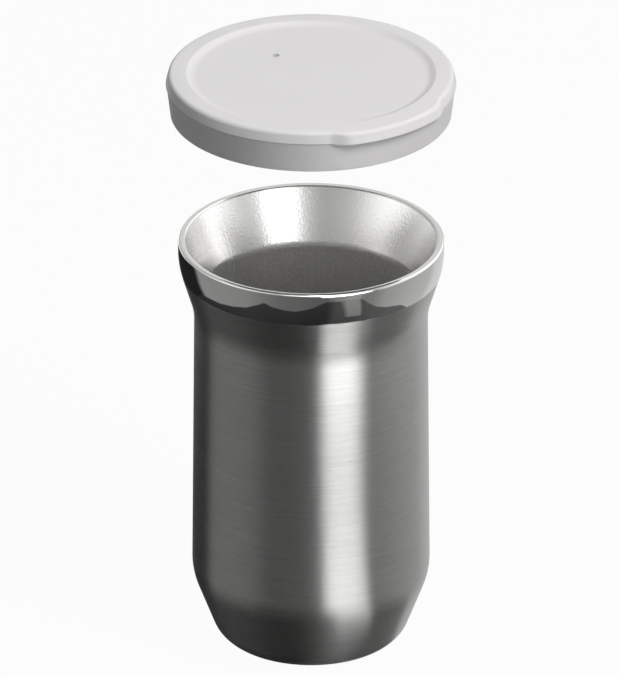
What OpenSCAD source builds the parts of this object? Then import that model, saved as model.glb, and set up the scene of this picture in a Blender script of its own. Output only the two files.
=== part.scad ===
// Double-walled steel mate cup with a press-on plastic cap.
// Origin at the middle of the foot, +Z up, millimetres. The cap is drawn lifted off the lip.

/* [Cup outline] */
// Height of the cup, from the surface it stands on to the top of the lip
cup_h = 118.4; // [105:0.1:150]
// Outside diameter of the waist, where the collar starts to flare
waist_d = 63.2; // [55:0.1:80]
// How far the body swells on each side, from the waist down to the taper
body_swell = 0.7; // [0:0.05:1.5]
// Height of the taper that draws the body in to the foot
taper_h = 20.2; // [16:0.1:26]
// How far the taper draws in on each side, measured at floor level
taper_in = 7.7; // [5:0.05:10]
// Height of the flared collar, from the waist to the lip
collar_h = 20.6; // [16:0.1:26]
// How far the collar flares out on each side
collar_flare = 4.35; // [3.2:0.05:6]
// Height of the upright band at the top of the collar
collar_band_h = 6.7; // [5:0.1:8]

/* [Cup rounding] */
// Radius of the round between foot and taper
foot_round = 8.5; // [6:0.5:12]
// Radius of the round between taper and body
taper_round = 20; // [10:1:26]
// Radius of the hollow where the collar leaves the waist
waist_round = 21; // [10:1:26]
// Radius of the round between flare and upright band
collar_round = 25; // [10:1:30]

/* [Walls] */
// Sheet thickness of the outer shell
shell_wall = 0.6; // [0.5:0.05:0.8]
// Sheet thickness of the liner
liner_wall = 0.5; // [0.4:0.05:0.7]
// Width of the evacuated space between shell and liner
vacuum_gap = 2.3; // [1.9:0.1:2.8]
// Width of the rounded lip that closes shell and liner together
lip_w = 2; // [1.6:0.1:2.3]
// Gap at the welds, where one sheet slips into another
weld_gap = 0.05; // [0.02:0.01:0.1]

/* [Liner] */
// Height of the liner's inside floor above the surface that the cup stands on
floor_z = 8.5; // [7:0.1:10.5]
// Height of the liner's flared mouth, from the throat to the lip
mouth_h = 15; // [12:0.5:18]
// Radius of the round between liner floor and taper
floor_round = 7; // [5:0.5:9]
// Radius of the bends at the throat and above the liner's taper
liner_round = 12; // [6:1:16]
// Height of the weld between liner tube and liner base above the bend
liner_weld_rise = 5; // [3:0.5:8]

/* [Base] */
// Width of the flat ring that the cup stands on
foot_land = 2; // [1.5:0.1:2.6]
// Sheet thickness of the outer base
base_wall = 0.6; // [0.5:0.05:0.8]
// Depth from the foot up to the outer base
base_inset = 2.4; // [2:0.1:3]
// Distance from the foot up to the lower edge of the base flange
base_edge = 0.4; // [0.3:0.1:0.6]
// Radius of the bend between base flange and base plate
base_round = 1.2; // [1:0.1:1.5]
// Diameter of the pressed dimple round the vacuum port
dimple_d = 10; // [8.5:0.5:12]
// Depth of the dimple
dimple_depth = 1.2; // [1:0.1:1.5]
// Diameter of the vacuum port
port_d = 1.6; // [1.2:0.1:2]
// Diameter of the bead that seals the port
seal_d = 4.4; // [3.6:0.1:5.2]
// Thickness of the bead at its middle
seal_h = 1; // [0.8:0.1:1.2]
// Diameter of the getter capsule in the evacuated space
getter_d = 6.4; // [5:0.1:7.6]
// Height of the getter capsule
getter_h = 2; // [1.6:0.1:2.4]

/* [Cap] */
// Height of the cap
cap_h = 11.8; // [10:0.1:14]
// Wall of the cap's plate
plate_wall = 1.7; // [1.4:0.1:2]
// Gap all round between the lip and the cap's skirt
skirt_gap = 0.3; // [0.25:0.01:0.4]
// Wall of the skirt at its lower edge
skirt_wall = 1.65; // [1.5:0.05:2.1]
// How far the skirt leans out on each side, from its lower edge to the rim band
skirt_draft = 1; // [0.5:0.05:1.2]
// Height of the cap's rim band
band_h = 3.1; // [2.7:0.1:3.6]
// How far the rim band leans out on each side, from its top edge to its lower edge
band_lean = 0.8; // [0.4:0.05:1]
// How far the rim band stands proud of the skirt
band_step = 0.25; // [0.2:0.05:0.5]
// Radius of the round on the top edge of the rim band
band_round = 1.3; // [0.9:0.1:1.5]
// Depth of the recess in the top of the cap
recess_depth = 1; // [0.8:0.1:1.2]
// Width of the cap's raised border round the recess
border_w = 6.4; // [5.5:0.1:7.5]
// Width of the soft slope round the recess
recess_slope = 1.8; // [1.6:0.1:2.4]
// Depth of the rib that centres the cap in the mouth
rib_h = 2.6; // [2.1:0.1:3.1]
// Wall of the centring rib
rib_wall = 1.2; // [1:0.1:1.4]
// Gap between the centring rib and the mouth
rib_gap = 0.4; // [0.35:0.01:0.5]
// Gap between the lip and the cap's ceiling, with the cap pressed on
seat_gap = 0.3; // [0.25:0.01:0.4]

/* [Thumb tab and vent] */
// How far the thumb tab stands out from the rim band
tab_reach = 1.9; // [1.4:0.1:2.8]
// Direction of the middle of the tab, anticlockwise from +X
tab_middle = -53.4; // [-90:0.2:0]
// Length of the tab at its full reach
tab_w = 27.5; // [20:0.5:34]
// Length of the sweep that blends each end of the tab into the band
tab_blend = 7.2; // [5:0.2:9]
// Diameter of the vent hole
vent_d = 1.9; // [1.5:0.1:2.4]
// Distance of the vent hole from the middle of the cap
vent_radius = 16.4; // [13:0.1:20]
// Direction of the vent hole, anticlockwise from +X
vent_turn = 125.5; // [90:0.5:180]

/* [Lift] */
// Height of the cap above its pressed-on place
cap_lift = 47.4; // [40:0.1:60]

/* [Hidden] */

// Facets round a full turn, and the angle between points on a rounded corner
$fn = 180;
arc_step = 4;
// The same angle on the thumb tab, the angle between its sections, and the depth of its root
tab_arc_step = 15;
tab_step = 1.5;
tab_root = 1.2;
// Length by which a cutter runs past what it cuts
past = 1;

steel = [0.62, 0.62, 0.61];
liner_steel = [0.72, 0.72, 0.71];
bead_grey = [0.35, 0.36, 0.38];
getter_grey = [0.28, 0.28, 0.3];
cap_grey = [0.83, 0.825, 0.82];

// Outline of the outer shell, from the waist
waist_r = waist_d / 2;
body_r = waist_r + body_swell;
mouth_r = waist_r + collar_flare;
foot_line_r = body_r - taper_in;
waist_z = cup_h - collar_h;
band_z = cup_h - collar_band_h;
taper_slope = taper_in / taper_h;
taper_stretch = sqrt(1 + taper_slope * taper_slope);
foot_turn = atan2(taper_h, taper_in);
foot_flat_r = foot_line_r - foot_round * tan(foot_turn / 2);
foot_open_r = foot_flat_r - foot_land;

// Rounded lip
lip_r = lip_w / 2;
lip_mid_r = mouth_r - lip_r;
lip_mid_z = cup_h - lip_r;
lip_in_r = mouth_r - lip_w;

// Liner, set in from the shell by the whole wall
wall_all = shell_wall + vacuum_gap + liner_wall;
liner_r = waist_r - wall_all;
liner_line_r = foot_line_r - wall_all * taper_stretch;
liner_bend_z = (liner_r - liner_line_r) / taper_slope;
liner_floor_r = liner_line_r + taper_slope * floor_z;
liner_weld_z = liner_bend_z + liner_weld_rise;
throat_z = cup_h - mouth_h;
mouth_slope = (lip_in_r - liner_r) / (lip_mid_z - throat_z);

// Outer base, slipped into the foot opening
base_r = foot_open_r - weld_gap;
base_top = base_inset + base_wall;
dimple_r = dimple_d / 2;
dimple_top = base_top + dimple_depth;
dimple_flat_r = dimple_r - dimple_depth;
port_r = port_d / 2;
seal_z = base_inset + dimple_depth - weld_gap;
getter_middle = (dimple_r + base_r - base_wall - base_round) / 2;

// Cap, from the lip that it closes
skirt_in_r = mouth_r + skirt_gap;
skirt_r = skirt_in_r + skirt_wall;
skirt_top_r = skirt_r + skirt_draft;
cap_r = skirt_top_r + band_step;
band_low = cap_h - band_h;
ceiling = cap_h - plate_wall;
recess_r = cap_r - border_w;
rib_low = ceiling - rib_h;
rib_low_r = lip_in_r - mouth_slope * (rib_h - seat_gap - lip_r) - rib_gap;
seated_z = cup_h + seat_gap - ceiling;

// Point a length t of the way from a to b
function toward(a, b, t) = a + (b - a) * t / norm(b - a);

// Points along the round that fits a corner b, between its neighbours a and c
function rounded_corner(a, b, c, radius, step) =
    let(
        u = (a - b) / norm(a - b),
        v = (c - b) / norm(c - b),
        half = acos(u * v) / 2,
        mid = b + (u + v) / norm(u + v) * radius / sin(half),
        start = toward(b, a, radius / tan(half)) - mid,
        side = sign(cross(b - a, c - b)),
        sweep = 180 - 2 * half,
        steps = ceil(sweep / step)
    )
    [for (i = [0:steps]) let(t = side * sweep * i / steps)
        mid + [start.x * cos(t) - start.y * sin(t), start.x * sin(t) + start.y * cos(t)]];

// Outline through corners [r, z, radius]; a corner without a radius stays sharp
function outline(corners, step = arc_step) = [
    for (i = [0:len(corners) - 1])
        let(b = [corners[i].x, corners[i].y])
        if (is_undef(corners[i][2])) b
        else each rounded_corner([corners[i - 1].x, corners[i - 1].y], b,
            [corners[i + 1].x, corners[i + 1].y], corners[i][2], step)
];

// Direction square to a path at its point i, to the left of the way it runs
function left_of(path, i) =
    let(
        last = len(path) - 1,
        before = i == 0 ? path[1] - path[0] : path[i] - path[i - 1],
        after = i == last ? path[last] - path[last - 1] : path[i + 1] - path[i],
        way = before / norm(before) + after / norm(after),
        along = way / norm(way),
        widen = along * (after / norm(after))
    )
    [-along.y, along.x] / widen;

// A path and its parallel at the sheet's thickness, as one closed outline
function sheet(path, wall) = concat(
    path,
    [for (i = [len(path) - 1:-1:0]) path[i] + left_of(path, i) * wall]
);

// Round section of the lip, widened by a gap
module lip_section(gap = 0) {
    translate([lip_mid_r, lip_mid_z]) circle(r = lip_r + gap);
}

// Spun outer shell, from the foot opening up to the lip that it carries
module outer_shell() {
    path = outline([
        [foot_open_r, 0],
        [foot_line_r, 0, foot_round],
        [body_r, taper_h, taper_round],
        [waist_r, waist_z, waist_round],
        [mouth_r, band_z, collar_round],
        [mouth_r, lip_mid_z]
    ]);
    color(steel) rotate_extrude() union() {
        polygon(sheet(path, shell_wall));
        lip_section();
    }
}

// Welded liner tube with its flared mouth, ending against the inside of the lip
module inner_liner() {
    path = outline([
        [lip_in_r, lip_mid_z],
        [liner_r, throat_z, liner_round],
        [liner_r, liner_weld_z]
    ]);
    color(liner_steel) rotate_extrude() difference() {
        polygon(sheet(path, liner_wall));
        lip_section(weld_gap);
    }
}

// Pressed bottom of the liner, butt-welded to the tube
module liner_base() {
    path = outline([
        [liner_r, liner_weld_z],
        [liner_r, liner_bend_z, liner_round],
        [liner_floor_r, floor_z, floor_round],
        [0, floor_z]
    ]);
    color(liner_steel) rotate_extrude() polygon(sheet(path, liner_wall));
}

// Pressed outer base with its flange, and a dimple round the vacuum port
module outer_base() {
    path = outline([
        [base_r, base_edge],
        [base_r, base_top, base_round],
        [dimple_r, base_top],
        [dimple_flat_r, dimple_top],
        [port_r, dimple_top]
    ]);
    color(steel) rotate_extrude() polygon(sheet(path, base_wall));
}

// Bead that plugs the port and seals it from below
module vacuum_seal() {
    seal_r = seal_d / 2;
    bulge_r = (seal_r * seal_r + seal_h * seal_h) / (2 * seal_h);
    color(bead_grey) union() {
        intersection() {
            translate([0, 0, seal_z - seal_h + bulge_r]) sphere(r = bulge_r);
            translate([0, 0, seal_z - seal_h]) cylinder(r = seal_r, h = seal_h);
        }
        translate([0, 0, seal_z - seal_h / 2])
            cylinder(r = port_r - weld_gap, h = seal_h / 2 + base_wall);
    }
}

// Getter capsule, spot-welded to the outer base inside the evacuated space
module getter() {
    color(getter_grey) translate([getter_middle, 0, base_top]) cylinder(d = getter_d, h = getter_h);
}

// Section of the cap's wall, from the middle over the rim band and back along the inside
module cap_section() {
    polygon(outline([
        [0, cap_h - recess_depth],
        [recess_r - recess_slope / 2, cap_h - recess_depth, 2 * recess_slope],
        [recess_r + recess_slope / 2, cap_h, recess_slope / 2],
        [cap_r - band_lean, cap_h, band_round],
        [cap_r, band_low, band_step / 2],
        [skirt_top_r, band_low - band_step, band_step / 2],
        [skirt_r, 0, skirt_wall / 4],
        [skirt_in_r, 0, skirt_wall / 4],
        [skirt_in_r, ceiling, skirt_wall / 3],
        [rib_low_r + mouth_slope * rib_h, ceiling],
        [rib_low_r, rib_low, rib_wall / 3],
        [rib_low_r - rib_wall, rib_low, rib_wall / 3],
        [rib_low_r - rib_wall, ceiling - recess_depth],
        [0, ceiling - recess_depth]
    ]));
}

// Reach of the thumb tab at an angle away from its middle, with a smooth sweep at each end
function tab_reach_at(turn) =
    let(
        beyond = (abs(turn) * PI / 180 * cap_r - tab_w / 2) / tab_blend,
        t = min(max(beyond, 0), 1)
    )
    tab_reach * (1 - t * t * (3 - 2 * t));

// Section of the tab at one reach: its outer edges follow the rim band's own rounding
function tab_section(reach) = outline([
    [cap_r - tab_root - band_round, band_low],
    [cap_r + reach, band_low, band_round / 3],
    [cap_r - band_lean + reach, cap_h, band_round],
    [cap_r - tab_root - band_round, cap_h]
], tab_arc_step);

// Thumb tab, swept round the rim band through its own sections
module thumb_tab() {
    half_turn = (tab_w / 2 + tab_blend) / cap_r * 180 / PI;
    steps = 2 * ceil(half_turn / tab_step);
    turns = [for (i = [0:steps]) half_turn * (2 * i / steps - 1)];
    sections = [for (turn = turns) tab_section(tab_reach_at(turn) - tab_sink(turn, half_turn))];
    count = len(sections[0]);
    points = [
        for (s = [0:steps]) for (p = sections[s])
            [p.x * cos(tab_middle + turns[s]), p.x * sin(tab_middle + turns[s]), p.y]
    ];
    sides = [
        for (s = [0:steps - 1]) for (k = [0:count - 1])
            let(a = s * count, b = a + count, n = (k + 1) % count)
            each [[a + k, a + n, b + k], [b + k, a + n, b + n]]
    ];
    polyhedron(points, concat(
        sides,
        [[for (k = [count - 1:-1:0]) k]],
        [[for (k = [0:count - 1]) steps * count + k]]
    ));
}

// The last stretch of each end dips just inside the band, so that the tab grows out of it
function tab_sink(turn, half_turn) = band_round / 4 * pow(turn / half_turn, 6);

// Press-on cap in one moulding, with its thumb tab and vent hole
module cap() {
    vent_x = vent_radius * cos(vent_turn);
    vent_y = vent_radius * sin(vent_turn);
    color(cap_grey) translate([0, 0, seated_z + cap_lift]) difference() {
        union() {
            rotate_extrude() cap_section();
            thumb_tab();
        }
        translate([vent_x, vent_y, ceiling - recess_depth - past])
            cylinder(d = vent_d, h = plate_wall + 2 * past);
    }
}

outer_shell();
inner_liner();
liner_base();
outer_base();
vacuum_seal();
getter();
cap();
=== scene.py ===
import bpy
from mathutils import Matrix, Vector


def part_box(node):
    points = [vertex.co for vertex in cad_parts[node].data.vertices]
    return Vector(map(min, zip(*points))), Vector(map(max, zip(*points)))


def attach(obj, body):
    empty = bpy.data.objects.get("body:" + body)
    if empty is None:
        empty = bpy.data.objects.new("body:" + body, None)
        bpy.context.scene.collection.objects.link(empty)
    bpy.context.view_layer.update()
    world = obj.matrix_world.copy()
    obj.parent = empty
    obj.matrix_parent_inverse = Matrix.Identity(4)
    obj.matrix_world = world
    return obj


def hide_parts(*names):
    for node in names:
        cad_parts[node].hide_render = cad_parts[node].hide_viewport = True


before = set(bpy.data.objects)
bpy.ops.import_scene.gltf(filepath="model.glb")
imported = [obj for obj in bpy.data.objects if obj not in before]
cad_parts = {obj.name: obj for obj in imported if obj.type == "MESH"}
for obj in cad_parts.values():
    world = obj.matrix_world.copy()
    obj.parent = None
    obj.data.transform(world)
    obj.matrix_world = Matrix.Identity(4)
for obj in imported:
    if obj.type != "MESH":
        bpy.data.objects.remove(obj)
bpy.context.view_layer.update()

import math

import bmesh
import bpy
from mathutils import Vector

# Inner liner
# A stainless tube, rolled from sheet and welded along one seam, then spun out at the mouth.
# The mouth is satin, and the wall below it is blasted to a fine even grain.

mm = 0.001


def rounded_corner(before, corner, after, radius, step):
    """Points along the round that fits a corner of an outline, from one side to the other."""
    before, corner, after = Vector(before), Vector(corner), Vector(after)
    back = (before - corner).normalized()
    ahead = (after - corner).normalized()
    half = math.acos(max(-1, min(1, back.dot(ahead)))) / 2
    middle = corner + (back + ahead).normalized() * radius / math.sin(half)
    start = corner + back * radius / math.tan(half) - middle
    side = math.copysign(1, (-back).cross(ahead))
    sweep = math.pi - 2 * half
    steps = max(2, math.ceil(sweep / math.radians(step)))
    points = []
    for i in range(steps + 1):
        turn = side * sweep * i / steps
        c, s = math.cos(turn), math.sin(turn)
        points.append((middle.x + start.x * c - start.y * s, middle.y + start.x * s + start.y * c))
    return points


def outline(corners, step=3):
    """Points (r, z) through corners (r, z) or (r, z, radius)."""
    points = []
    for i, corner in enumerate(corners):
        if len(corner) == 2:
            points.append(corner)
        else:
            points += rounded_corner(corners[i - 1][:2], corner[:2], corners[i + 1][:2], corner[2], step)
    return points


def sheet(path, wall):
    """A path and its parallel one wall to the left, as one closed outline."""
    far_side = []
    for i, point in enumerate(path):
        here = Vector(point)
        before = (here - Vector(path[i - 1])).normalized() if i else Vector((0, 0))
        after = (Vector(path[i + 1]) - here).normalized() if i < len(path) - 1 else Vector((0, 0))
        along = (before + after).normalized()
        widen = along.dot(after if i < len(path) - 1 else before)
        far_side.append((point[0] - along.y * wall / widen, point[1] + along.x * wall / widen))
    return path + far_side[::-1]


def turned(name, points, turns=192, extra_turns=(), shift=None, closed=True):
    """A mesh turned about the axis from an outline of (r, z); shift(turn, r, z) may move each point."""
    angles = sorted([2 * math.pi * i / turns for i in range(turns)] + list(extra_turns))
    mesh = bmesh.new()
    rings = []
    for r, z in points:
        if r < 1e-6:
            rings.append([mesh.verts.new((0, 0, z))])
            continue
        ring = []
        for angle in angles:
            rr, zz = shift(angle, r, z) if shift else (r, z)
            ring.append(mesh.verts.new((rr * math.cos(angle), rr * math.sin(angle), zz)))
        rings.append(ring)
    count = len(angles)
    pairs = list(zip(rings, rings[1:] + rings[:1] if closed else rings[1:]))
    for low, high in pairs:
        for k in range(count):
            n = (k + 1) % count
            if len(low) == 1 and len(high) == 1:
                continue
            if len(low) == 1:
                mesh.faces.new((low[0], high[n], high[k]))
            elif len(high) == 1:
                mesh.faces.new((low[k], low[n], high[0]))
            else:
                mesh.faces.new((low[k], low[n], high[n], high[k]))
    bmesh.ops.recalc_face_normals(mesh, faces=mesh.faces)
    data = bpy.data.meshes.new(name)
    mesh.to_mesh(data)
    mesh.free()
    data.shade_smooth()
    data.set_sharp_from_angle(angle=math.radians(35))
    piece = bpy.data.objects.new(name, data)
    bpy.context.scene.collection.objects.link(piece)
    return piece


class Finish:
    """A material and short names for the nodes that its surface is made of."""

    def __init__(self, name):
        self.material = bpy.data.materials.new(name)
        self.material.use_nodes = True
        self.tree = self.material.node_tree
        self.shader = self.tree.nodes["Principled BSDF"]
        self.place = self.tree.nodes.new("ShaderNodeTexCoord").outputs["Object"]

    def node(self, kind, **values):
        node = self.tree.nodes.new(kind)
        for key, value in values.items():
            setattr(node, key, value)
        return node

    def link(self, output, target):
        self.tree.links.new(output, target)

    def stretched(self, scale):
        """The surface's own place, scaled by (x, y, z)."""
        node = self.node("ShaderNodeMapping")
        node.inputs["Scale"].default_value = scale
        self.link(self.place, node.inputs["Vector"])
        return node.outputs["Vector"]

    def noise(self, scale, detail=2, rough=0.5):
        """Noise with scale (x, y, z) spots in each metre."""
        node = self.node("ShaderNodeTexNoise")
        node.inputs["Scale"].default_value = 1
        node.inputs["Detail"].default_value = detail
        node.inputs["Roughness"].default_value = rough
        self.link(self.stretched(scale), node.inputs["Vector"])
        return node.outputs["Fac"]

    def place_part(self, letter):
        """The surface's own x, y or z."""
        node = self.node("ShaderNodeSeparateXYZ")
        self.link(self.place, node.inputs[0])
        return node.outputs[letter]

    def ramp(self, value, low, high, to_low=0, to_high=1):
        """value taken from the range low..high to the range to_low..to_high, and kept inside it."""
        node = self.node("ShaderNodeMapRange")
        node.inputs["From Min"].default_value = low
        node.inputs["From Max"].default_value = high
        node.inputs["To Min"].default_value = to_low
        node.inputs["To Max"].default_value = to_high
        self.link(value, node.inputs["Value"])
        return node.outputs["Result"]

    def math(self, operation, a, b=0):
        """A sum on numbers or on other nodes' outputs."""
        node = self.node("ShaderNodeMath", operation=operation)
        for slot, value in zip(node.inputs, (a, b)):
            if isinstance(value, (int, float)):
                slot.default_value = value
            else:
                self.link(value, slot)
        return node.outputs[0]

    def mix(self, factor, a, b):
        """A number that goes from a to b as factor goes from 0 to 1."""
        node = self.node("ShaderNodeMix", data_type="FLOAT")
        for slot, value in zip((node.inputs[0], node.inputs[2], node.inputs[3]), (factor, a, b)):
            if isinstance(value, (int, float)):
                slot.default_value = value
            else:
                self.link(value, slot)
        return node.outputs[0]

    def colours(self, factor, first, second):
        """A colour that goes from first to second as factor goes from 0 to 1."""
        node = self.node("ShaderNodeMix", data_type="RGBA")
        self.link(factor, node.inputs[0])
        for slot, colour in zip((node.inputs[6], node.inputs[7]), (first, second)):
            if isinstance(colour, tuple):
                slot.default_value = (*colour, 1)
            else:
                self.link(colour, slot)
        return node.outputs[2]

    def bump(self, height, depth, strength):
        """Raises the surface by up to depth, in metres, where height is 1."""
        node = self.node("ShaderNodeBump")
        node.inputs["Strength"].default_value = strength
        node.inputs["Distance"].default_value = depth
        self.link(height, node.inputs["Height"])
        self.link(node.outputs["Normal"], self.shader.inputs["Normal"])

    def brushed_round(self, amount):
        """Stretches highlights up and down, as brushing round the axis does."""
        tangent = self.node("ShaderNodeTangent", direction_type="RADIAL", axis="Z")
        self.link(tangent.outputs["Tangent"], self.shader.inputs["Tangent"])
        self.shader.inputs["Anisotropic"].default_value = amount
        self.shader.inputs["Anisotropic Rotation"].default_value = 0.25

    def on(self, piece):
        piece.data.materials.clear()
        piece.data.materials.append(self.material)


shell_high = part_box("outer_shell")[1]
liner_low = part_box("inner_liner")[0]
base_low, base_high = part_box("liner_base")
cup_top = shell_high.z
mouth_r = shell_high.x
lip_w = 2 * mm
lip_r = lip_w / 2
lip_crown = 0.55 * mm
lip_middle = (mouth_r - lip_r, cup_top - lip_crown)
liner_wall = 0.5 * mm
liner_r = base_high.x - liner_wall
liner_weld_z = liner_low.z
throat_z = cup_top - 15 * mm
throat_round = 6 * mm

# The weld seam runs up the back left of the tube, and is ground lower in the mouth
seam_turn = math.radians(139)
seam_half = 0.42 * mm / liner_r
seam_rise = 0.12 * mm
seam_rise_in_mouth = seam_rise / 9


def with_seam(angle, r, z):
    """Draws the wall in to a low ridge along the seam."""
    away = abs(angle - seam_turn) / seam_half
    rise = seam_rise if z < throat_z else seam_rise_in_mouth
    return r - rise * max(0, 1 - away * away), z


# Extra columns of points carry the ridge
seam_turns = [seam_turn + seam_half * k / 4 for k in range(-5, 6)]
liner_edge = (mouth_r - lip_w, lip_middle[1])
# The spun mouth meets the lip in a crease, which is the fine dark line inside it
liner_path = outline([
    liner_edge,
    (liner_r, throat_z, throat_round),
    (liner_r, liner_weld_z),
])
inner_liner = turned("inner_liner_tube", sheet(liner_path, liner_wall),
                     extra_turns=seam_turns, shift=with_seam)

satin = Finish("liner_satin")
satin.shader.inputs["Metallic"].default_value = 1
grain = satin.noise((1600, 1600, 1600), 3)
speckle = satin.ramp(grain, 0.35, 0.65)
# The blasted wall gives way to the satin mouth at the throat
in_mouth = satin.ramp(satin.place_part("Z"), throat_z - 1.2 * mm, throat_z + 0.8 * mm)

# The weld shows as two fine pale lines, which nearly fade out in the mouth
round_axis = satin.math("ARCTAN2", satin.place_part("Y"), satin.place_part("X"))
from_seam = satin.math("ABSOLUTE", satin.math("SUBTRACT", round_axis, seam_turn))
from_line = satin.math("ABSOLUTE", satin.math("SUBTRACT", from_seam, 0.9 * seam_half))
lines = satin.ramp(from_line, 0, 0.5 * seam_half, 1, 0)
pale_lines = satin.math("MULTIPLY", lines, satin.mix(in_mouth, 1, 0.12))

wall_rough = satin.mix(lines, satin.mix(speckle, 0.52, 0.62), 0.3)
mouth_rough = satin.mix(speckle, 0.22, 0.26)
satin.link(satin.mix(in_mouth, wall_rough, mouth_rough), satin.shader.inputs["Roughness"])
blasted = satin.colours(speckle, (0.55, 0.545, 0.53), (0.67, 0.663, 0.646))
liner_colour = satin.colours(in_mouth, blasted, (0.79, 0.785, 0.775))
satin.link(satin.colours(pale_lines, liner_colour, (0.92, 0.915, 0.9)), satin.shader.inputs["Base Color"])
satin.bump(grain, 0.08 * mm, 0.6)
satin.on(inner_liner)
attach(inner_liner, "cup")
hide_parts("inner_liner")

# Liner base
# The drawn steel bottom of the liner, with a tapered wall and a flat floor.
# It is butt-welded to the tube all round and blasted with it.

taper_h = 20.2 * mm
taper_in = 7.7 * mm
body_r = 32.3 * mm
wall_all = 3.4 * mm
foot_line_r = body_r - taper_in
taper_slope = taper_in / taper_h
liner_line_r = foot_line_r - wall_all * math.hypot(1, taper_slope)
liner_bend_z = (liner_r - liner_line_r) / taper_slope
floor_z = base_low.z + liner_wall
floor_round = 7 * mm
liner_round = 12 * mm
base_path = outline([
    (liner_r, liner_weld_z),
    (liner_r, liner_bend_z, liner_round),
    (liner_line_r + taper_slope * floor_z, floor_z, floor_round),
    (0, floor_z),
])
liner_base = turned("liner_bottom", sheet(base_path, liner_wall))
satin.on(liner_base)
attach(liner_base, "cup")
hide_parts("liner_base")

# Outer shell
# Stainless sheet spun to a flared collar and a tapered foot, and welded to the liner at the lip.
# The body is brushed round its axis, and the upper collar and lip are polished to a mirror.

shell_wall = 0.6 * mm
waist_r = 31.6 * mm
waist_z = cup_top - 20.6 * mm
band_z = cup_top - 6.7 * mm
foot_round = 8.5 * mm
taper_round = 20 * mm
waist_round = 21 * mm
collar_round = 25 * mm
foot_land = 2 * mm
foot_flat_r = foot_line_r - foot_round * math.tan(math.atan2(taper_h, taper_in) / 2)
foot_open_r = foot_flat_r - foot_land
shell_path = outline([
    (foot_open_r, 0),
    (foot_line_r, 0, foot_round),
    (body_r, taper_h, taper_round),
    (waist_r, waist_z, waist_round),
    (mouth_r, band_z, collar_round),
    (mouth_r, lip_middle[1]),
])
# The lip's arc ends a little way down its inner side
lip_arc = []
lip_steps = 18
for i in range(1, lip_steps + 1):
    round_lip = math.radians(220) * i / lip_steps
    out_from_middle = lip_r * math.cos(round_lip)
    up_from_middle = lip_crown * math.sin(round_lip)
    lip_arc.append((lip_middle[0] + out_from_middle, lip_middle[1] + up_from_middle))
# The hidden side of the sheet ends inside the lip
hidden_side = sheet(shell_path, shell_wall)[len(shell_path):]
hidden_side = [p for p in hidden_side if p[1] < cup_top - lip_w]
outer_shell = turned("outer_shell_body", shell_path + lip_arc + hidden_side, turns=256)

brushed = Finish("brushed_and_polished_steel")
brushed.shader.inputs["Metallic"].default_value = 1
polish_z = cup_top - 9.2 * mm
# The polish ends in a line that wavers slightly
waver = brushed.ramp(brushed.noise((90, 90, 90), 2), 0.3, 0.7, -0.15 * mm, 0.15 * mm)
masked = brushed.math("ADD", brushed.place_part("Z"), waver)
polished = brushed.ramp(masked, polish_z - 0.15 * mm, polish_z + 0.15 * mm)
fine_lines = brushed.noise((420, 420, 5200), 3, 0.6)
broad_lines = brushed.noise((60, 60, 1800), 2)
line_rough = brushed.math("ADD", brushed.ramp(fine_lines, 0.25, 0.75, 0.28, 0.35),
                          brushed.ramp(broad_lines, 0.3, 0.7, -0.008, 0.008))
brushed.link(brushed.mix(polished, line_rough, 0.04), brushed.shader.inputs["Roughness"])
both_lines = brushed.ramp(brushed.math("ADD", fine_lines, broad_lines), 0.7, 1.3)
# The brushed body's colour is about half the polished steel's. That darkening is painted shade, and the
# fine lines in it are the brushing's own grain.
brushed_colour_with_painted_shade = brushed.colours(both_lines, (0.286, 0.284, 0.279), (0.334, 0.331, 0.325))
brushed.link(brushed.colours(polished, brushed_colour_with_painted_shade, (0.6, 0.595, 0.585)), brushed.shader.inputs["Base Color"])
brushed.bump(brushed.mix(polished, fine_lines, 0.5), 0.004 * mm, 0.5)
brushed.brushed_round(0.83)
brushed.on(outer_shell)
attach(outer_shell, "cup")
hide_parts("outer_shell")

# Outer base with its getter and vacuum seal
# A pressed steel dish, welded into the foot, with a getter capsule spot-welded on its hidden side.
# Its dimple holds the vacuum port, which a bead of sealing glass closes in the furnace.

plain_steel = Finish("pressed_base_steel")
plain_steel.shader.inputs["Metallic"].default_value = 1
spin_marks = plain_steel.noise((1500, 1500, 1500), 2)
plain_steel.link(plain_steel.ramp(spin_marks, 0.3, 0.7, 0.28, 0.36), plain_steel.shader.inputs["Roughness"])
plain_steel.shader.inputs["Base Color"].default_value = (0.58, 0.575, 0.565, 1)
plain_steel.bump(spin_marks, 0.004 * mm, 0.5)
plain_steel.on(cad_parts["outer_base"])

bead_glass = Finish("sealing_glass")
bead_mottle = bead_glass.noise((900, 900, 900), 3)
bead_glass.link(bead_glass.colours(bead_mottle, (0.05, 0.05, 0.055), (0.09, 0.09, 0.1)),
                bead_glass.shader.inputs["Base Color"])
bead_glass.shader.inputs["Roughness"].default_value = 0.25
bead_glass.bump(bead_mottle, 0.02 * mm, 0.5)
bead_glass.on(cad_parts["vacuum_seal"])

sintered = Finish("getter_metal")
grit = sintered.noise((4000, 4000, 4000), 2)
sintered.link(sintered.colours(grit, (0.12, 0.12, 0.125), (0.2, 0.2, 0.205)),
              sintered.shader.inputs["Base Color"])
sintered.shader.inputs["Metallic"].default_value = 1
sintered.shader.inputs["Roughness"].default_value = 0.7
sintered.bump(grit, 0.03 * mm, 0.6)
sintered.on(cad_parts["getter"])

# Cap
# One plastic moulding: a plate with a shallow recess, a rim band with a thumb tab, and a skirt.
# It presses over the lip by hand, and a small vent hole lets the air out.

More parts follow.
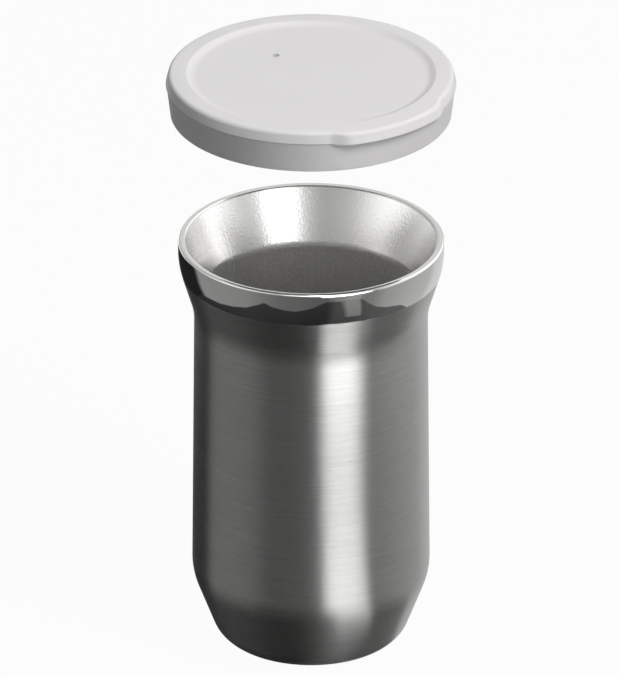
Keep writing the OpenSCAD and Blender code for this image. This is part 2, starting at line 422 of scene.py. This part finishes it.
cap_low, cap_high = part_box("cap")
cap_z = cap_low.z
cap_h = cap_high.z - cap_low.z
cap_r = -cap_low.x
band_h = 3.1 * mm
band_lean = 0.8 * mm
band_step = 0.25 * mm
band_round = 1.3 * mm
skirt_draft = 1 * mm
skirt_wall = 1.65 * mm
plate_wall = 1.7 * mm
recess_depth = 1 * mm
border_w = 6.4 * mm
recess_slope = 1.8 * mm
rib_h = 2.6 * mm
rib_wall = 1.2 * mm
rib_gap = 0.4 * mm
seat_gap = 0.3 * mm
# The centring rib follows the slope of the mouth when the cap is on its seat
mouth_slope = (liner_edge[0] - liner_r) / (cup_top - lip_r - throat_z)
rib_low_r = liner_edge[0] - mouth_slope * (rib_h - seat_gap - lip_r) - rib_gap
band_low = cap_h - band_h
skirt_top_r = cap_r - band_step
skirt_r = skirt_top_r - skirt_draft
skirt_in_r = skirt_r - skirt_wall
recess_r = cap_r - border_w
ceiling = cap_h - plate_wall
rib_low = ceiling - rib_h

tab_reach = 1.79 * mm
tab_middle = math.radians(-53.4)
tab_half = 13.75 * mm
tab_blend = 7.2 * mm


def tab_at(angle):
    """How far the tab stands out from the rim band at an angle round the cap."""
    away = abs((angle - tab_middle + math.pi) % (2 * math.pi) - math.pi) * cap_r
    t = min(max((away - tab_half) / tab_blend, 0), 1)
    sink = band_round / 4 * min(away / (tab_half + tab_blend), 1) ** 6
    return max(0, tab_reach * (1 - t * t * (3 - 2 * t)) - sink)


def with_tab(angle, r, z):
    """Pushes the rim band out by as much as the tab stands out there."""
    on_band = z - cap_z > band_low - 1e-6 and r > cap_r - band_lean - band_round
    return (r + tab_at(angle) if on_band else r), z


cap_corners = [
    (0, cap_h - recess_depth),
    (recess_r - recess_slope / 2, cap_h - recess_depth, 2 * recess_slope),
    (recess_r + recess_slope / 2, cap_h, recess_slope / 2),
    (cap_r - band_lean, cap_h, band_round),
    (cap_r, band_low, band_step / 2),
    (skirt_top_r, band_low - band_step, band_step / 2),
    (skirt_r, 0, skirt_wall / 4),
    (skirt_in_r, 0, skirt_wall / 4),
    (skirt_in_r, ceiling, skirt_wall / 3),
    (rib_low_r + mouth_slope * rib_h, ceiling),
    (rib_low_r, rib_low, rib_wall / 3),
    (rib_low_r - rib_wall, rib_low, rib_wall / 3),
    (rib_low_r - rib_wall, ceiling - recess_depth),
    (0, ceiling - recess_depth),
]
cap_points = [(r, z + cap_z) for r, z in outline(cap_corners, 8)]
cap = turned("press_on_cap", cap_points, turns=288, shift=with_tab)

# The vent is cut with a small drill that also breaks its top edge
vent_r = 0.95 * mm
vent_break = 0.12 * mm
vent_turn = math.radians(125.5)
vent_radius = 16.4 * mm
plate_top = cap_z + cap_h - recess_depth
drill = turned("vent_drill", [
    (0, plate_top - 2 * plate_wall),
    (vent_r, plate_top - 2 * plate_wall),
    (vent_r, plate_top - vent_break),
    (vent_r + vent_break, plate_top),
    (vent_r + vent_break, plate_top + 1 * mm),
    (0, plate_top + 1 * mm),
], turns=48, closed=False)
drill.location = (vent_radius * math.cos(vent_turn), vent_radius * math.sin(vent_turn), 0)
bore = cap.modifiers.new("vent", "BOOLEAN")
bore.operation = "DIFFERENCE"
bore.solver = "EXACT"
bore.object = drill
bpy.context.view_layer.update()
cut = bpy.data.meshes.new_from_object(cap.evaluated_get(bpy.context.evaluated_depsgraph_get()))
cap.modifiers.clear()
cap.data = cut
cap.data.shade_smooth()
cap.data.set_sharp_from_angle(angle=math.radians(35))
bpy.data.objects.remove(drill)

moulded = Finish("matt_moulded_plastic")
moulded_grain = moulded.noise((2600, 2600, 2600), 2)
cloud = moulded.noise((60, 60, 60), 2)
moulded.link(moulded.colours(cloud, (0.735, 0.719, 0.721), (0.75, 0.734, 0.736)),
             moulded.shader.inputs["Base Color"])
moulded.link(moulded.ramp(moulded_grain, 0.3, 0.7, 0.52, 0.6), moulded.shader.inputs["Roughness"])
moulded.shader.inputs["Specular IOR Level"].default_value = 0.35
moulded.bump(moulded_grain, 0.01 * mm, 0.5)
moulded.on(cap)
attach(cap, "cap")
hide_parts("cap")

# Floor
# A pale table that keeps the cup's shadow and sends some light up under it.
# The steel doesn't mirror it. The deep cards and two that lie on it stand in for it there.

floor_r = 3
floor_data = bpy.data.meshes.new("floor")
floor_mesh = bmesh.new()
bmesh.ops.create_circle(floor_mesh, cap_ends=True, radius=floor_r, segments=96)
floor_mesh.to_mesh(floor_data)
floor_mesh.free()
floor = bpy.data.objects.new("floor", floor_data)
bpy.context.scene.collection.objects.link(floor)


def seen_directly(tree):
    """1 for what the camera, a mirror or glass sees, and 0 for light that falls on things."""
    ray = tree.nodes.new("ShaderNodeLightPath")
    seen = ray.outputs["Is Camera Ray"]
    for kind in ("Is Glossy Ray", "Is Transmission Ray"):
        either = tree.nodes.new("ShaderNodeMath")
        either.operation = "MAXIMUM"
        tree.links.new(seen, either.inputs[0])
        tree.links.new(ray.outputs[kind], either.inputs[1])
        seen = either.outputs[0]
    return seen


# The camera sees it nearly white, with a faint shadow. Light meets it as matt grey.
paper = bpy.data.materials.new("pale_table")
paper.use_nodes = True
tree = paper.node_tree
tree.nodes.clear()
matt = tree.nodes.new("ShaderNodeBsdfDiffuse")
matt.inputs["Color"].default_value = (0.5, 0.5, 0.5, 1)
white = tree.nodes.new("ShaderNodeEmission")
white_share = tree.nodes.new("ShaderNodeMath")
white_share.operation = "MULTIPLY"
white_share.inputs[1].default_value = 0.96
blend = tree.nodes.new("ShaderNodeMixShader")
out = tree.nodes.new("ShaderNodeOutputMaterial")
tree.links.new(seen_directly(tree), white_share.inputs[0])
tree.links.new(white_share.outputs[0], blend.inputs[0])
tree.links.new(matt.outputs[0], blend.inputs[1])
tree.links.new(white.outputs[0], blend.inputs[2])
tree.links.new(blend.outputs[0], out.inputs["Surface"])
floor_data.materials.append(paper)
floor.visible_glossy = False

# Studio
# White surroundings, a run of grey and white cards that the steel mirrors, and two soft boxes.
# The surroundings light the cup with a twentieth of the white that the camera sees.

world = bpy.data.worlds.new("studio")
bpy.context.scene.world = world
world.use_nodes = True
sky = world.node_tree
sky.nodes.clear()
fill = sky.nodes.new("ShaderNodeBackground")
fill.inputs["Color"].default_value = (1, 1, 1, 1)
level = sky.nodes.new("ShaderNodeMapRange")
level.inputs["To Min"].default_value = 0.05
level.inputs["To Max"].default_value = 1
end = sky.nodes.new("ShaderNodeOutputWorld")
sky.links.new(seen_directly(sky), level.inputs["Value"])
sky.links.new(level.outputs[0], fill.inputs["Strength"])
sky.links.new(fill.outputs[0], end.inputs["Surface"])

studio_middle = (0, 0, 0.1)
card_columns = 180
card_rows = 12
card_over_table = 0.5 * mm


def at_turn(turn, pairs):
    """The value at a turn, from (turn, value) pairs, or the value itself where it is one number."""
    if isinstance(pairs, (int, float)):
        return pairs
    for (before, first_value), (after, next_value) in zip(pairs, pairs[1:]):
        if before <= turn <= after:
            return first_value + (next_value - first_value) * (turn - before) / (after - before)
    return pairs[-1][1]


def card(name, greys, foot, head, kind="far", away=2.0, fade=(1, 1), lean=0):
    """A curved card round the cup that only the mirroring surfaces see. Its greys are (turn, grey)
    pairs, with 0 degrees towards the camera and growing to its right, and fade is the share of the
    grey at its foot and its head. Foot and head are rises in degrees for a far card, heights for a
    near card, and distances from the axis for a card that lies on the table. Away is how far off a
    far or near card stands. The foot is turned on from the head by lean degrees."""
    data = bpy.data.meshes.new(name)
    shape = bmesh.new()
    shade = shape.verts.layers.float_color.new("grey")
    start, stop = greys[0][0], greys[-1][0]
    turns = [start + (stop - start) * i / card_columns for i in range(card_columns + 1)]
    rows = []
    for k in range(card_rows + 1):
        row = []
        for degrees in turns:
            low = at_turn(degrees, foot)
            reach = low + (at_turn(degrees, head) - low) * k / card_rows
            turn = math.radians(degrees + lean * (1 - k / card_rows))
            if kind == "table":
                across, height = reach, card_over_table
            elif kind == "near":
                across, height = away, reach
            else:
                across = away * math.cos(math.radians(reach))
                height = studio_middle[2] + away * math.sin(math.radians(reach))
            vert = shape.verts.new((across * math.sin(turn), -across * math.cos(turn), height))
            grey = (fade[0] + (fade[1] - fade[0]) * k / card_rows) * at_turn(degrees, greys)
            vert[shade] = (grey, grey, grey, 1)
            row.append(vert)
        rows.append(row)
    for low, high in zip(rows, rows[1:]):
        for k in range(card_columns):
            shape.faces.new((low[k], low[k + 1], high[k + 1], high[k]))
    shape.to_mesh(data)
    shape.free()
    piece = bpy.data.objects.new(name, data)
    bpy.context.scene.collection.objects.link(piece)
    paint = bpy.data.materials.new(name + "_paint")
    paint.use_nodes = True
    nodes = paint.node_tree.nodes
    nodes.clear()
    tint = nodes.new("ShaderNodeVertexColor")
    tint.layer_name = "grey"
    glow = nodes.new("ShaderNodeEmission")
    surface = nodes.new("ShaderNodeOutputMaterial")
    paint.node_tree.links.new(tint.outputs["Color"], glow.inputs["Color"])
    paint.node_tree.links.new(glow.outputs[0], surface.inputs["Surface"])
    data.materials.append(paint)
    piece.visible_camera = False
    piece.visible_diffuse = False
    piece.visible_shadow = False
    piece.visible_transmission = False


# The lower edge of the pale cards rises and falls round the cup, and the polished collar shows it
edge = [
    (-180, -39), (-150, -36), (-116, -35), (-95, -38), (-78, -38), (-62, -36), (-50, -31), (-41, -27),
    (-35, -30), (-24, -33), (-14, -34), (-4, -31), (6, -27), (13, -22), (44, -23), (50, -28), (62, -35),
    (75, -38), (95, -39), (110, -42), (150, -42), (180, -39),
]
deep_greys = [
    (-180, 0.1), (-150, 0.035), (-60, 0.055), (0, 0.04), (15, 0.045), (23, 0.11), (46, 0.12), (90, 0.17),
    (150, 0.17), (180, 0.1),
]
card("deep_cards", deep_greys, -88, edge, fade=(0.35, 1))
band_greys = [
    (-180, 0.3), (-162, 0.02), (-119, 0.02), (-112, 0.38), (-80, 0.36), (-56, 0.33), (-42, 0.26),
    (-28, 0.2), (-5, 0.17), (14, 0.14), (24, 0.3), (34, 0.44), (42, 0.4), (45, 0.27), (56, 0.32),
    (68, 0.46), (100, 0.62), (126, 0.68), (136, 0.85), (165, 0.8), (180, 0.3),
]
card("band_cards", band_greys, edge, 0)
high_greys = [
    (-180, 1), (-154, 0.75), (-140, 0.55), (-125, 0.6), (-110, 0.95), (-95, 1.3), (-77, 1.4),
    (-58, 1.1), (-42, 0.62), (-25, 0.5), (-12, 0.43), (-4, 0.5), (4, 0.65), (12, 1.1), (22, 2.7),
    (38, 2.9), (45, 1.4), (52, 0.72), (62, 0.7), (70, 0.8), (80, 1.15), (100, 1.5), (148, 1.9),
    (158, 1), (180, 1),
]
card("high_cards", high_greys, 0, 52)
strip_foot_greys = [(25, 0.12), (30, 0.36), (41, 0.36), (44, 0.12)]
card("strip_foot", strip_foot_greys, -43, -23, away=1.9, fade=(0.8, 1), lean=7)

# The near cards end below the mouth, so the brushed body mirrors them and the liner doesn't
card("near_strip", [(7, 0), (13, 52), (41, 52), (51, 0)], 0.058, 0.112, "near", 0.25, (0.02, 1))
card("side_card", [(54, 1), (64, 3), (125, 3), (160, 0)], 0.045, 0.112, "near", 0.27, (0.3, 1))
card("left_card", [(-180, 0), (-150, 5), (-126, 4), (-112, 0)], 0.05, 0.112, "near", 0.27, (0.1, 1))

# A card overhead shows in the lip, and two on the table show in the taper
card("lip_card", [(-40, 0), (-30, 3), (-12, 3), (0, 10), (28, 10), (40, 3), (56, 0)], 52, 86)
card("near_table", [(14, 0), (22, 1.2), (42, 1.2), (50, 0)], 0.038, 0.056, "table")
card("far_table", [(8, 0), (15, 2.8), (41, 2.8), (51, 0)], 0.06, 0.112, "table")


def soft_box(name, place, size, power):
    """A square soft light that faces the middle of the studio and doesn't show in mirrors."""
    lamp = bpy.data.lights.new(name, "AREA")
    lamp.shape = "SQUARE"
    lamp.size = size
    lamp.energy = power
    holder = bpy.data.objects.new(name, lamp)
    holder.location = place
    holder.rotation_euler = (Vector(studio_middle) - Vector(place)).to_track_quat("-Z", "Y").to_euler()
    holder.visible_camera = False
    holder.visible_glossy = False
    bpy.context.scene.collection.objects.link(holder)


soft_box("key", (0.62, -0.62, 1.06), 0.5, 12.3)
soft_box("top", (0.1, 0.1, 1.3), 0.9, 4.6)

# Camera
# A long lens at the photograph's height above the cup.
# The photograph's scale is the size of one of its rows at the cup.

camera_rise = math.radians(25.56)
camera_away = 6
photo_scale = 0.2707 * mm
photo_rows = 676
aim = Vector((-0.0004, 0, 0.0886))
lens = bpy.data.cameras.new("camera")
lens.sensor_width = 36
lens.lens = lens.sensor_width * camera_away / (photo_rows * photo_scale)
lens.clip_end = 20
eye = bpy.data.objects.new("camera", lens)
eye.location = aim + camera_away * Vector((0, -math.cos(camera_rise), math.sin(camera_rise)))
eye.rotation_euler = (aim - eye.location).to_track_quat("-Z", "Y").to_euler()
bpy.context.scene.collection.objects.link(eye)
bpy.context.scene.camera = eye

bpy.context.scene.view_settings.view_transform = "Standard"
